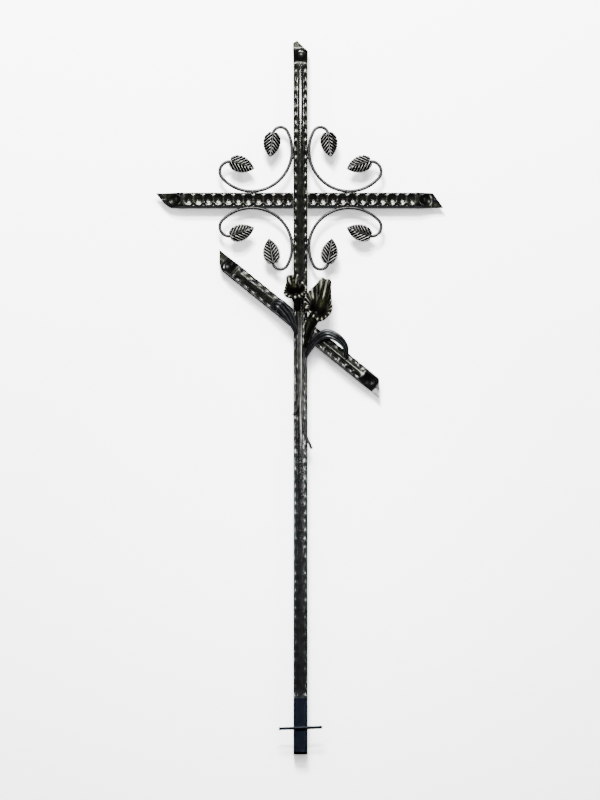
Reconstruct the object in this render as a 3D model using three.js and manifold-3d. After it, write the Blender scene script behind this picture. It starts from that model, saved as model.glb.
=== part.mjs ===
// A wrought iron grave cross: a hollow hammered post with a crossbar and a slanted bar welded to its
// sides, four scrolls with stamped leaves round the crossing, and two calla lilies on long stems.
// Millimetres, +Z up the post, +X to the viewer's right, the front looks along -Y.
// The origin is the middle of the post's lower end, which is set in the ground.
import * as THREE from "three";
import { mergeVertices } from "three/addons/utils/BufferGeometryUtils.js";
import Module from "manifold-3d";

// The hammered square tube that the post and all four arms are cut from
const tubeSize = 40; // across the flats
const tubeWall = 2;
const dentDepth = 2; // the oval dents in the middle of a face
const edgeDent = 0.9; // how far a dent pulls the edge in
const cornerBite = 7.5; // width that a dent takes off a corner
const cornerSoft = 1.4; // the corner's bevel where nothing is dented
const weldGap = 0.3; // between pieces that are welded together

// The post
const postHeight = 2079; // to the middle of its cut top
const postPitch = 25.5; // from dent to dent
const plainFoot = 160; // smooth length below the dents

// The arms, each measured from the post's axis to the middle of its cut end
const armPitch = 28;
const crossbarDrop = 461; // from the middle of the post's cut top down to the crossbar's axis
const crossbarLeft = 397;
const crossbarRight = 394;
const slantClear = 10.15; // under the lower left scroll, over the slanted bar's highest corner
const slantAngle = 39.7; // degrees below the horizontal, to the right
const slantUpper = 301.6;
const slantLower = 292.6;

// The pinched ends: flattened, cut at an angle and stamped with a round dish on both faces
const pinchLength = 62; // from the last dent to the middle of the cut
const pinchFlat = 14; // flat length before the cut
const pinchThickness = 4.4;
const endFlare = 1.5; // how much wider the flattened end is on each side
const dishInset = 36; // from the cut's middle to the dish
const dishDiameter = 29;
const dishSphere = 48; // diameter of the ball that stamps the dish
const leftCutAngle = 38; // degrees, between the cut and a square one
const rightCutAngle = 35;
const topCutAngle = 45;
const topTipInset = 11.5; // from the post's left side to its highest point

// The round rods
const scrollRod = 8; // diameter
const scrollRadius = 115; // of the large bend, to the rod's centre
const innerRadius = 22; // of the small bend by the post
const outerRadius = 28; // and of the one at the far end
const innerSweep = 28; // degrees that the large bend goes on past the post
const outerSweep = 47; // and past the crossbar
const innerHook = 158; // degrees of the small bend by the post
const outerHook = 152; // and of the one at the far end
const upperStretch = 1.045; // the upper scrolls are this much taller than the lower ones
const scrollPlane = -12; // the rods lie towards the front of the tubes
const stemRod = 8.4;
const anchorRod = 8;
const anchorLength = 124;
const anchorHeight = 68;
const anchorTilt = 2.2; // degrees, the right end is higher

// The stamped leaves
const leafLength = 73;
const leafWidth = 48;
const leafSheet = 1.5;
const leafRelief = 2.2; // from the veins' valleys to their ridges
const leafDome = 3; // the midrib stands this far over the edges
const leafLap = 7; // how far a leaf laps over the end of its rod
const veinPairs = 6;
// How far each leaf turns from the way down to the crossbar, or straight in to the post, in degrees
const leafTilt = { upper: { inner: 7, outer: 19 }, lower: { inner: 10, outer: 20 } };

// The sheet of the flowers and of the two long leaves
const petalSheet = 2;
const bladeSheet = 2;
const collarGap = 0.4; // round the stem, where the flower is crimped on it
const petalRibs = 10;
const sprayHeight = 513; // from the lowest stem end to the highest petal
const sprayDrawn = 513; // the same height in the tables of points below

const halfTube = tubeSize / 2;
const radians = THREE.MathUtils.degToRad;

// The crossbar hangs below the post's top, and the slanted bar below the lower scroll, clear of its end
const crossbarHeight = postHeight - crossbarDrop;
const scrollReach = scrollRod / 2 + weldGap + scrollRadius;
const slant = radians(slantAngle);
const outerTurn = radians(270 + outerSweep);
const scrollDepth = scrollReach + (scrollRadius - outerRadius) * Math.sin(outerTurn) + outerRadius;
const leafReach = leafWidth / 2 + Math.sin(radians(leafTilt.lower.outer)) * leafLap;
const slantRise = slantUpper * Math.sin(slant) + (halfTube + endFlare) * Math.cos(slant);
const cutRise = (halfTube + endFlare) * Math.tan(slant) * Math.sin(slant);
const slantHeight = crossbarHeight - halfTube - scrollDepth - leafReach - slantClear - slantRise - cutRise;
const wasm = await Module();
wasm.setup();

const lacquer = { hammered: 0x17181a, rod: 0x141517, leaf: 0x2c2d2c, petal: 0x2a2a22, blade: 0x23262a };
const cross = new THREE.Group();

// Adds one piece to the cross, and returns it so that it can be placed
function addPiece(name, geometry, color, roughness) {
  const material = new THREE.MeshStandardMaterial({ color, roughness, metalness: 0.9 });
  const piece = new THREE.Mesh(geometry, material);
  piece.name = name;
  cross.add(piece);
  return piece;
}

// A closed three.js geometry as a solid for cutting
function solidFrom(geometry) {
  const bare = geometry.index ? geometry.toNonIndexed() : geometry.clone();
  bare.deleteAttribute("normal");
  bare.deleteAttribute("uv");
  const merged = mergeVertices(bare, 1e-4);
  const vertProperties = merged.attributes.position.array;
  const triVerts = new Uint32Array(merged.index.array);
  return new wasm.Manifold(new wasm.Mesh({ numProp: 3, vertProperties, triVerts }));
}

function geometryFrom(solid) {
  const mesh = solid.getMesh();
  const geometry = new THREE.BufferGeometry();
  geometry.setAttribute("position", new THREE.BufferAttribute(mesh.vertProperties, 3));
  geometry.setIndex(new THREE.BufferAttribute(mesh.triVerts, 1));
  geometry.computeVertexNormals();
  return geometry;
}

function geometryOf(points, faces) {
  const geometry = new THREE.BufferGeometry().setFromPoints(points);
  geometry.setIndex(faces);
  geometry.computeVertexNormals();
  return geometry;
}

// A closed body through rings of points that run counterclockwise about the way from first to last
function loft(rings) {
  const count = rings[0].length;
  const points = rings.flat();
  const faces = [];
  for (let r = 0; r < rings.length - 1; r++) {
    for (let j = 0; j < count; j++) {
      const a = r * count + j;
      const b = r * count + ((j + 1) % count);
      faces.push(a, b, b + count, a, b + count, a + count);
    }
  }
  for (const [ring, turned] of [[0, true], [rings.length - 1, false]]) {
    const centre = points.length;
    const middle = new THREE.Vector3();
    for (const point of rings[ring]) middle.addScaledVector(point, 1 / count);
    points.push(middle);
    for (let j = 0; j < count; j++) {
      const a = ring * count + j;
      const b = ring * count + ((j + 1) % count);
      faces.push(centre, ...(turned ? [b, a] : [a, b]));
    }
  }
  return geometryOf(points, faces);
}

// A round rod through points that run roughly in the plane of the cross
function rodAlong(points, radiusAt, sides) {
  const front = new THREE.Vector3(0, -1, 0);
  const rings = points.map((point, i) => {
    const ahead = points[Math.min(i + 1, points.length - 1)].clone();
    const tangent = ahead.sub(points[Math.max(i - 1, 0)]).normalize();
    const side = new THREE.Vector3().crossVectors(front, tangent).normalize();
    const rise = new THREE.Vector3().crossVectors(tangent, side);
    const radius = radiusAt(i / (points.length - 1));
    return Array.from({ length: sides }, (_, j) => {
      const turn = ((j + 0.5) / sides) * 2 * Math.PI;
      const across = side.clone().multiplyScalar(radius * Math.cos(turn));
      return point.clone().add(across).addScaledVector(rise, radius * Math.sin(turn));
    });
  });
  return loft(rings);
}

// A sheet of even thickness on a curved surface. It is closed on itself in u, or has edges on all sides.
function sheetSolid(surfaceAt, uCount, vCount, thickness, closed) {
  const columns = closed ? uCount : uCount + 1;
  const step = 1e-3;
  const skins = [[], []];
  for (let j = 0; j <= vCount; j++) {
    for (let i = 0; i < columns; i++) {
      const u = i / uCount;
      const v = j / vCount;
      const uBefore = closed ? u - step : Math.max(u - step, 0);
      const uAfter = closed ? u + step : Math.min(u + step, 1);
      const alongU = surfaceAt(uAfter, v).sub(surfaceAt(uBefore, v));
      const alongV = surfaceAt(u, Math.min(v + step, 1)).sub(surfaceAt(u, Math.max(v - step, 0)));
      const normal = alongU.cross(alongV).normalize();
      const point = surfaceAt(u, v);
      skins[0].push(point.clone().addScaledVector(normal, thickness / 2));
      skins[1].push(point.clone().addScaledVector(normal, -thickness / 2));
    }
  }
  const back = skins[0].length;
  const faces = [];
  const wall = (a, b) => faces.push(a, a + back, b + back, a, b + back, b);
  for (let j = 0; j < vCount; j++) {
    for (let i = 0; i < uCount; i++) {
      const a = j * columns + i;
      const b = j * columns + ((i + 1) % columns);
      faces.push(a, b, b + columns, a, b + columns, a + columns);
      faces.push(a + back, b + columns + back, b + back, a + back, a + columns + back, b + columns + back);
    }
    if (!closed) {
      wall((j + 1) * columns, j * columns);
      wall(j * columns + uCount, (j + 1) * columns + uCount);
    }
  }
  for (let i = 0; i < uCount; i++) {
    const next = (i + 1) % columns;
    wall(i, next);
    wall(vCount * columns + next, vCount * columns + i);
  }
  return geometryOf([...skins[0], ...skins[1]], faces);
}

// One ring of the tube: its face middles are sunk on two opposite sides, and its corners are bitten
function tubeSection(bite, edge, sunk, ovalOnFront) {
  const h = halfTube;
  const quarter = [[h - sunk, 0], [h - edge, h - bite], [h - bite, h]];
  const rest = [[-(h - bite), h], [-(h - edge), h - bite]];
  const half = [...quarter, ...rest];
  const points = [...half, ...half.map(([x, y]) => [-x, -y])];
  return points.map(([x, y]) => (ovalOnFront ? [-y, x] : [x, y]));
}

const ringAt = (section, along, skew = 0, wide = 1, deep = 1) =>
  section.map(([x, y]) => new THREE.Vector3(x * wide, y * deep, along + skew * x));

// What is cut off past an oblique end, rounded at its short corner. The long side is +X, or -X if turned.
function cutBlade({ middle, angle, tipInset, cornerRound, turned }) {
  const h = halfTube + endFlare;
  const slope = Math.tan(radians(angle));
  const cutAt = (x) => middle + slope * x;
  const tip = h - tipInset;
  const margin = tubeSize;
  const lean = cornerRound * Math.cos(radians(angle));
  const shape = new THREE.Shape();
  shape.moveTo(-h - margin, cutAt(-h) - cornerRound);
  shape.lineTo(-h, cutAt(-h) - cornerRound);
  shape.quadraticCurveTo(-h, cutAt(-h), -h + lean, cutAt(-h + lean));
  shape.lineTo(tip, cutAt(tip));
  shape.lineTo(h + margin, cutAt(tip) + (tipInset > 0 ? -0.6 : slope) * (h + margin - tip));
  shape.lineTo(h + margin, middle + 3 * margin);
  shape.lineTo(-h - margin, middle + 3 * margin);
  shape.closePath();
  const depth = 2 * tubeSize;
  const blade = new THREE.ExtrudeGeometry(shape, { depth, bevelEnabled: false, curveSegments: 3 });
  blade.rotateX(Math.PI / 2);
  blade.translate(0, depth / 2, 0);
  if (turned) blade.rotateZ(Math.PI);
  return solidFrom(blade);
}

// The ball that stamps the round dish into the sloping face on one side of a pinched end
function dishBall(middle, side) {
  const flatHalf = pinchThickness / 2;
  const slope = (halfTube - flatHalf) / (pinchLength - pinchFlat);
  const lean = Math.atan(slope);
  const surface = flatHalf + slope * (dishInset - pinchFlat);
  const radius = dishSphere / 2;
  const lift = Math.sqrt(radius ** 2 - (dishDiameter / 2) ** 2);
  const ball = new THREE.SphereGeometry(radius, 14, 10);
  ball.rotateX(-side * lean);
  ball.translate(0, side * (surface + lift * Math.cos(lean)), middle - dishInset + lift * Math.sin(lean));
  return solidFrom(ball);
}

// A hammered tube along +Z, open at its start and pinched shut at its end
function hammeredTube({ start, startSkew, plain, pitch, ovalOnFront, end }) {
  const crest = tubeSection(cornerSoft, 0, 0, ovalOnFront);
  const dent = tubeSection(cornerBite, edgeDent, dentDepth, ovalOnFront);
  const pinchStart = end.middle - pinchLength;
  const cells = Math.round((pinchStart - plain) / pitch);
  const cell = (pinchStart - plain) / cells;
  const rings = [ringAt(crest, start, startSkew), ringAt(crest, plain)];
  for (let k = 0; k < cells; k++) {
    rings.push(ringAt(dent, plain + (k + 0.5) * cell));
    rings.push(ringAt(crest, plain + (k + 1) * cell));
  }
  const wide = 1 + endFlare / halfTube;
  const flat = pinchThickness / tubeSize;
  rings.push(ringAt(crest, end.middle - pinchFlat, 0, wide, flat));
  rings.push(ringAt(crest, end.middle + tubeSize, 0, wide, flat));

  // The bore keeps the wall under the deepest dent, and narrows to a wedge under the dish
  const bore = halfTube - dentDepth - tubeWall;
  const square = [[bore, -bore], [bore, bore], [-bore, bore], [-bore, -bore]];
  const wedge = tubeWall / bore;
  const boreRings = [
    ringAt(square, start - tubeSize),
    ringAt(square, pinchStart),
    ringAt(square, end.middle - dishInset, 0, 1, wedge),
    ringAt(square, end.middle - dishInset + pinchFlat, 0, 1, wedge / 4),
  ];
  let tube = solidFrom(loft(rings)).subtract(solidFrom(loft(boreRings)));
  for (const side of [-1, 1]) tube = tube.subtract(dishBall(end.middle, side));
  return geometryFrom(tube.subtract(cutBlade(end)));
}

// The post, cut to a point at the top, its longer side on the left
addPiece(
  "post",
  hammeredTube({
    start: 0,
    startSkew: 0,
    plain: plainFoot,
    pitch: postPitch,
    ovalOnFront: false,
    end: { middle: postHeight, angle: topCutAngle, tipInset: topTipInset, cornerRound: 2, turned: true },
  }),
  lacquer.hammered,
  0.3,
);

// An arm from the post's side outwards, turned about the Y axis from straight up
function addArm(name, { height, turn, length, ovalOnFront, angle, cornerRound }) {
  const lean = Math.abs(Math.sin(turn));
  const startSkew = Math.cos(turn) === 0 ? 0 : Math.abs(Math.cos(turn)) / lean;
  const start = (halfTube + weldGap) / lean;
  const arm = hammeredTube({
    start,
    startSkew,
    plain: start + startSkew * halfTube + weldGap,
    pitch: armPitch,
    ovalOnFront,
    end: { middle: length, angle, tipInset: 0, cornerRound, turned: false },
  });
  const piece = addPiece(name, arm, lacquer.hammered, 0.3);
  piece.rotation.y = turn;
  piece.position.z = height;
}

const level = { height: crossbarHeight, ovalOnFront: true };
const sloping = { height: slantHeight, ovalOnFront: false, angle: slantAngle };
addArm("crossbar_left", {
  ...level, turn: -Math.PI / 2, length: crossbarLeft, angle: leftCutAngle, cornerRound: 15,
});
addArm("crossbar_right", {
  ...level, turn: Math.PI / 2, length: crossbarRight, angle: rightCutAngle, cornerRound: 3,
});
addArm("slanted_bar_upper", { ...sloping, turn: slant - Math.PI / 2, length: slantUpper, cornerRound: 14 });
addArm("slanted_bar_lower", { ...sloping, turn: slant + Math.PI / 2, length: slantLower, cornerRound: 3 });

// A scroll seen from the corner of post and crossbar: x away from the post, y away from the crossbar.
// The large bend touches both, and a hook is bent at each end. Angles are about each bend's centre.
function scrollBends() {
  const middle = { x: scrollReach, y: scrollReach };
  const large = { ...middle, radius: scrollRadius, from: 180 - innerSweep, to: 270 + outerSweep };
  const hook = (angle, radius) => ({
    x: scrollReach + (scrollRadius - radius) * Math.cos(radians(angle)),
    y: scrollReach + (scrollRadius - radius) * Math.sin(radians(angle)),
    radius,
  });
  const inner = { ...hook(large.from, innerRadius), from: large.from - innerHook, to: large.from };
  const outer = { ...hook(large.to, outerRadius), from: large.to, to: large.to + outerHook };
  return { inner, large, outer };
}

function onBend(bend, angle) {
  const turn = radians(angle);
  return new THREE.Vector2(bend.x + bend.radius * Math.cos(turn), bend.y + bend.radius * Math.sin(turn));
}

// From the corner's own frame to the cross: side is -1 left or 1 right, rise is 1 above or -1 below
function fromCorner(side, rise, point, depth) {
  const away = point.y * (rise > 0 ? upperStretch : 1);
  return new THREE.Vector3(side * (halfTube + point.x), depth, crossbarHeight + rise * (halfTube + away));
}

function scrollGeometry(side, rise) {
  const { inner, large, outer } = scrollBends();
  const points = [];
  for (const [bend, stepAngle] of [[inner, 26], [large, 17], [outer, 26]]) {
    const steps = Math.ceil((bend.to - bend.from) / stepAngle);
    for (let i = bend === inner ? 0 : 1; i <= steps; i++) {
      const angle = bend.from + ((bend.to - bend.from) * i) / steps;
      points.push(fromCorner(side, rise, onBend(bend, angle), scrollPlane));
    }
  }
  return rodAlong(points, () => scrollRod / 2, 6);
}

// A pointed leaf along +Z from its base, its face to the front. The midrib stands out, and the veins
// run forward from it as ridges that end in the teeth of the edge.
function leafGeometry() {
  const rows = 2 * veinPairs;
  const widthAt = (v) => Math.sin(Math.PI * (0.03 + 0.97 * v) ** 0.65) ** 0.8;
  const surface = (u, v) => {
    const across = 2 * u - 1;
    const off = Math.abs(across);
    const ridge = 0.5 + 0.5 * Math.cos(Math.PI * rows * v);
    const width = Math.max(widthAt(Math.min(v, 1)), leafSheet / leafWidth) * (1 + 0.07 * ridge);
    const sweep = 0.13 * off * Math.sin(Math.PI * v) - 0.035 * off * (1 - v) ** 4;
    const height = leafDome * (1 - off ** 1.5) + leafRelief * ridge * off;
    const x = (across * width * leafWidth) / 2;
    return new THREE.Vector3(x, -leafSheet / 2 - height, leafLength * (v + sweep));
  };
  return sheetSolid(surface, 2, rows, leafSheet, false);
}

// Scrolls and leaves round the crossing
for (const [sideName, side] of [["left", -1], ["right", 1]]) {
  for (const [riseName, rise] of [["upper", 1], ["lower", -1]]) {
    addPiece(`scroll_${riseName}_${sideName}`, scrollGeometry(side, rise), lacquer.rod, 0.25);
    const { inner, outer } = scrollBends();
    const tilts = rise > 0 ? leafTilt.upper : leafTilt.lower;
    const ends = [
      { place: "inner", point: onBend(inner, inner.from), angle: -90 + tilts.inner },
      { place: "outer", point: onBend(outer, outer.to), angle: -180 + tilts.outer },
    ];
    for (const { place, point, angle } of ends) {
      const leaf = addPiece(`leaf_${riseName}_${sideName}_${place}`, leafGeometry(), lacquer.leaf, 0.35);
      const direction = new THREE.Vector2(Math.cos(radians(angle)), Math.sin(radians(angle)));
      const base = point.clone().addScaledVector(direction, -leafLap);
      leaf.position.copy(fromCorner(side, rise, base, scrollPlane - scrollRod / 2 - weldGap));
      leaf.rotation.y = Math.atan2(side * direction.x, rise * direction.y);
    }
  }
}

// A value that runs smoothly through evenly spaced stations
function smooth(values, t) {
  const curve = new THREE.SplineCurve(values.map((value, i) => new THREE.Vector2(i, value)));
  return curve.getPoint(t).y;
}

// The spray of flowers is drawn at a height of its own, from where the slanted bar's axis meets the post's.
// Each point in its tables is how far right of the axis, out from the post's front, and up.
const sprayScale = sprayHeight / sprayDrawn;
const stemClear = stemRod / 2 + weldGap;
const onSpray = (x, out, up, least = 0) => {
  const depth = Math.max(out * sprayScale, least);
  return new THREE.Vector3(x * sprayScale, -halfTube - depth, slantHeight + up * sprayScale);
};

// The flowers. Each station is a ring of the petal sheet: its centre, half width, half length, and how it
// tilts towards the viewer and leans to the right. The first one is the collar crimped round the stem.
const collarRadius = stemRod / 2 + collarGap + petalSheet / 2;
const collarDrawn = collarRadius / sprayScale;
const leftFlower = [
  { x: -6, out: 9, up: 33, wide: collarDrawn, long: collarDrawn, tilt: 0, lean: -6 },
  { x: -9, out: 14, up: 55, wide: 11, long: 11, tilt: 14, lean: -6 },
  { x: -13, out: 21, up: 79, wide: 18, long: 15, tilt: 36, lean: -4 },
  { x: -16, out: 27, up: 93, wide: 22, long: 20, tilt: 56, lean: -2 },
  { x: -16, out: 31, up: 105, wide: 32, long: 39, tilt: 65, lean: -6 },
];
const rightFlower = [
  { x: 12, out: 11, up: -75, wide: collarDrawn, long: collarDrawn, tilt: 4, lean: 16 },
  { x: 20, out: 18, up: -41, wide: 9.5, long: 9.5, tilt: 10, lean: 18 },
  { x: 34, out: 24, up: 1, wide: 17, long: 16, tilt: 28, lean: 18 },
  { x: 50, out: 29, up: 37, wide: 27, long: 27, tilt: 55, lean: 14 },
  { x: 56, out: 31, up: 64, wide: 37, long: 68, tilt: 73, lean: 11 },
];

function petalSurface(stations) {
  const at = (key, v) => smooth(stations.map((station) => station[key]), v);
  return (u, v) => {
    const turn = 2 * Math.PI * u;
    const rib = sprayScale * (1 + 0.035 * v ** 3 * Math.cos(petalRibs * turn));
    const point = new THREE.Vector3(at("wide", v) * Math.cos(turn), at("long", v) * Math.sin(turn), 0);
    point.multiplyScalar(rib);
    point.applyEuler(new THREE.Euler(radians(at("tilt", v)), radians(at("lean", v)), 0, "YXZ"));
    return point.add(onSpray(at("x", v), at("out", v) + weldGap, at("up", v)));
  };
}

// The stems run from the spadix in the flower's throat, through the collar, and down the post's front
const leftStem = [
  [-14, 22, 83], [-10, 16, 62], [-6, 9, 33], [-4, 6, -3], [-3.6, 0, -63], [-3.4, 0, -139],
  [-3.6, 0, -203], [-8.3, 0, -243], [-14, 0, -260], [-21, 0, -271],
];
const rightStem = [
  [46, 25, 29], [34, 22, -3], [20, 17, -43], [12, 11, -75], [8.4, 6, -113], [7, 0, -168],
  [5.8, 0, -228], [6, 0, -268], [8, 0, -298], [12, 0, -320], [21, 0, -344], [33, 0, -369],
];

function stemGeometry(route) {
  const points = route.map(([x, out, up]) => onSpray(x, out, up, stemClear));
  const curve = new THREE.CatmullRomCurve3(points, false, "centripetal");
  const radiusAt = (t) => (t === 0 ? stemRod / 4 : stemRod / 2);
  return rodAlong(curve.getSpacedPoints(20), radiusAt, 6);
}

for (const [name, stations, route] of [["left", leftFlower, leftStem], ["right", rightFlower, rightStem]]) {
  const petal = sheetSolid(petalSurface(stations), 2 * petalRibs, 5, petalSheet, true);
  addPiece(`flower_${name}`, petal, lacquer.petal, 0.35);
  addPiece(`stem_${name}`, stemGeometry(route), lacquer.rod, 0.3);
}

// The two long leaves: ribbed blades that arch over the slanted bar and bend back to touch it.
// Points as for the stems, and the width at each.
const bladeClear = 1.5 * bladeSheet;
const leftBlade = [
  [-13, 0, -27, 7], [-22, 9, -1, 18], [-38, 18, 28, 27], [-58, 22, 50, 27], [-74, 17, 56, 18],
  [-84, 8, 46, 3],
];
const rightBlade = [
  [17, 0, -97, 7], [27, 7, -73, 15], [46, 15, -48, 20], [74, 22, -34, 21], [104, 24, -45, 19],
  [126, 20, -67, 16], [134, 13, -89, 10], [130, 6, -106, 3],
];

function bladeGeometry(route) {
  const points = route.map(([x, out, up]) => onSpray(x, out, up, bladeClear));
  const curve = new THREE.CatmullRomCurve3(points, false, "centripetal");
  const widths = route.map((point) => point[3] * sprayScale);
  const outwards = new THREE.Vector3(0, -1, 0);
  const surface = (u, v) => {
    const tangent = curve.getTangent(v);
    const side = new THREE.Vector3().crossVectors(tangent, outwards).normalize();
    const rise = new THREE.Vector3().crossVectors(side, tangent).normalize();
    const width = smooth(widths, v);
    const across = 2 * u - 1;
    const rib = Math.cos(2 * Math.PI * across) * 0.05 * width;
    const point = curve.getPoint(v).addScaledVector(side, (across * width) / 2);
    return point.addScaledVector(rise, rib - 0.12 * width * across ** 2);
  };
  return sheetSolid(surface, 4, 10, bladeSheet, false);
}
addPiece("long_leaf_left", bladeGeometry(leftBlade), lacquer.blade, 0.3);
addPiece("long_leaf_right", bladeGeometry(rightBlade), lacquer.blade, 0.3);

// The rod welded across the plain foot, which keeps the cross from turning in the ground
const anchorEnds = [-1, 1].map((end) => new THREE.Vector3((end * anchorLength) / 2, 0, 0));
const anchor = addPiece("anchor_rod", rodAlong(anchorEnds, () => anchorRod / 2, 12), lacquer.rod, 0.3);
anchor.rotation.y = -radians(anchorTilt);
anchor.position.set(0, -halfTube - weldGap - anchorRod / 2, anchorHeight);

export default cross;
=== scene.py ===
# A wrought iron grave cross, in front of a pale floor that stands upright close behind it.
# Metres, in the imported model's frame: z up the post, x to the right, the front looks along -y.
import math

import bmesh
import bpy
from mathutils import Euler, Matrix, Vector, noise


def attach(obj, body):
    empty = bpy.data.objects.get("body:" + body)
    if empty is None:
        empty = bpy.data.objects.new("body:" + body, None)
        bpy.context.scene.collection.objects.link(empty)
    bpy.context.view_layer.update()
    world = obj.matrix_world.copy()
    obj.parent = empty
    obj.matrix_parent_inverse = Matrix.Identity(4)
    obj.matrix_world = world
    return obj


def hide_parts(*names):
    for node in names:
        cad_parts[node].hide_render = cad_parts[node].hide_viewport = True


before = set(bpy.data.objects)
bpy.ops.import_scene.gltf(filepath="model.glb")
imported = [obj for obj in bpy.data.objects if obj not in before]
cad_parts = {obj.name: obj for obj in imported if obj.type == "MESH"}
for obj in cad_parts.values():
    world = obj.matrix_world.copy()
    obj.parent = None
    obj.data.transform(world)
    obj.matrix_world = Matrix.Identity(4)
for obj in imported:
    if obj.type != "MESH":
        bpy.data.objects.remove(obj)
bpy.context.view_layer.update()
mm = 0.001
mergeWithin = 0.01 * mm


# Shader maths: a Value is one output socket, and arithmetic on it adds Math nodes
class Value:
    def __init__(self, shader, socket):
        self.shader = shader
        self.socket = socket

    def combine(self, operation, first, second):
        settings = {"operation": operation}
        return self.shader.node("ShaderNodeMath", settings, {0: first, 1: second})

    def __add__(self, other):
        return self.combine("ADD", self, other)

    def __sub__(self, other):
        return self.combine("SUBTRACT", self, other)

    def __rsub__(self, other):
        return self.combine("SUBTRACT", other, self)

    def __mul__(self, other):
        return self.combine("MULTIPLY", self, other)

    def clamped(self):
        return self.shader.node("ShaderNodeClamp", {}, {"Value": self})

    def between(self, low, high):  # 0 below low, 1 above high
        sockets = {"Value": self, "From Min": low, "From Max": high}
        return self.shader.node("ShaderNodeMapRange", {"clamp": True}, sockets)


# The node tree of a material or of the world, with one way to add a node to it
class Shader:
    def __init__(self, owner):
        owner.use_nodes = True
        self.owner = owner
        self.tree = owner.node_tree
        self.tree.nodes.clear()

    def node(self, kind, settings, sockets, output=0):
        made = self.tree.nodes.new(kind)
        for key, setting in settings.items():
            setattr(made, key, setting)
        for key, value in sockets.items():
            if isinstance(value, Value):
                self.tree.links.new(value.socket, made.inputs[key])
            else:
                made.inputs[key].default_value = value
        return Value(self, made.outputs[output] if made.outputs else None)

    def objectPlace(self):
        return self.node("ShaderNodeTexCoord", {}, {}, output=3)

    def noise(self, place, scale, detail, roughness):
        sockets = {"Vector": place, "Scale": scale, "Detail": detail, "Roughness": roughness}
        return self.node("ShaderNodeTexNoise", {}, sockets)

    def mix(self, factor, first, second):
        settings = {"data_type": "RGBA", "blend_type": "MIX"}
        return self.node("ShaderNodeMix", settings, {0: factor, 6: first, 7: second}, output=2)

    def finish(self, surface, output="ShaderNodeOutputMaterial"):
        self.node(output, {}, {"Surface": surface})
        return self.owner


# The lacquered iron finishes. Silver shows where the worn attribute is high, and the tint in the
# hollows.
# Below 0 the attribute marks painted shade. Where a finish has a low tint, it is painted light:
# lighter and bluer down at the foot of the cross.
finishes = {
    "hammered": dict(
        black=(0.003, 0.0032, 0.0036), tint=(0.030, 0.032, 0.018), silver=(0.24, 0.25, 0.22),
        # low is painted light: a lighter, bluer colour at the foot of the cross
        low=(0.050, 0.057, 0.058), worn=0.14, spread=0.1, rough=0.17,
        dimple=0.10, grain=0.01, streak=0.03, metal=0.8, coat=0.55,
    ),
    "foot": dict(
        black=(0.0015, 0.003, 0.010), tint=(0.002, 0.006, 0.020), silver=(0.03, 0.04, 0.07),
        worn=0.05, spread=0.1, rough=0.36,
        dimple=0.04, grain=0.02, streak=0.03, metal=0.8, coat=0.10,
    ),
    "rod": dict(
        black=(0.020, 0.020, 0.020), tint=(0.040, 0.039, 0.035), silver=(0.19, 0.19, 0.18),
        worn=0.40, spread=0.1, rough=0.42,
        dimple=0.02, grain=0.01, streak=0.0, metal=0.75, coat=0.15,
    ),
    "leaf": dict(
        black=(0.0008, 0.0008, 0.0008), tint=(0.0025, 0.0025, 0.002), silver=(0.72, 0.72, 0.68),
        worn=0.95, spread=0.22, rough=0.24,
        dimple=0.05, grain=0.01, streak=0.0, metal=1.0, coat=0.02,
    ),
    "petal": dict(
        black=(0.002, 0.0022, 0.001), tint=(0.026, 0.027, 0.010), silver=(0.72, 0.72, 0.60),
        worn=1.0, spread=0.16, rough=0.22,
        dimple=0.04, grain=0.01, streak=0.02, metal=0.95, coat=0.3,
    ),
    "blade": dict(
        black=(0.005, 0.006, 0.007), tint=(0.013, 0.020, 0.022), silver=(0.34, 0.36, 0.36),
        worn=0.45, spread=0.1, rough=0.25,
        dimple=0.06, grain=0.02, streak=0.06, metal=0.9, coat=0.3,
    ),
}

# What all finishes share: the scales of the noises, and the ranges that are stretched to 0 to 1
lacquer = dict(
    drawn=(320, 26, 1), patchy=60.0, dimpled=260.0, grainy=900.0,
    rubbedWear=(0.25, 0.8), rubbedPatches=(0.30, 0.50), rubbedStreaks=(0.35, 0.6), streakShare=0.4,
    # the tint heights are where the painted light at the foot fades out; the last two entries are
    # the colour and roughness of painted shade
    cloudy=(0.44, 0.60), paintedLightHeight=(0.75, 1.15), paintedShade=(0.0015, 0.0014, 0.001, 1), paintedShadeRough=0.3,
    roughStreaks=(0.3, 0.7), roughSwing=0.12, roughShift=0.05, spineRough=0.4,
    coatRough=0.06, coatIndex=1.7,
)


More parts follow.
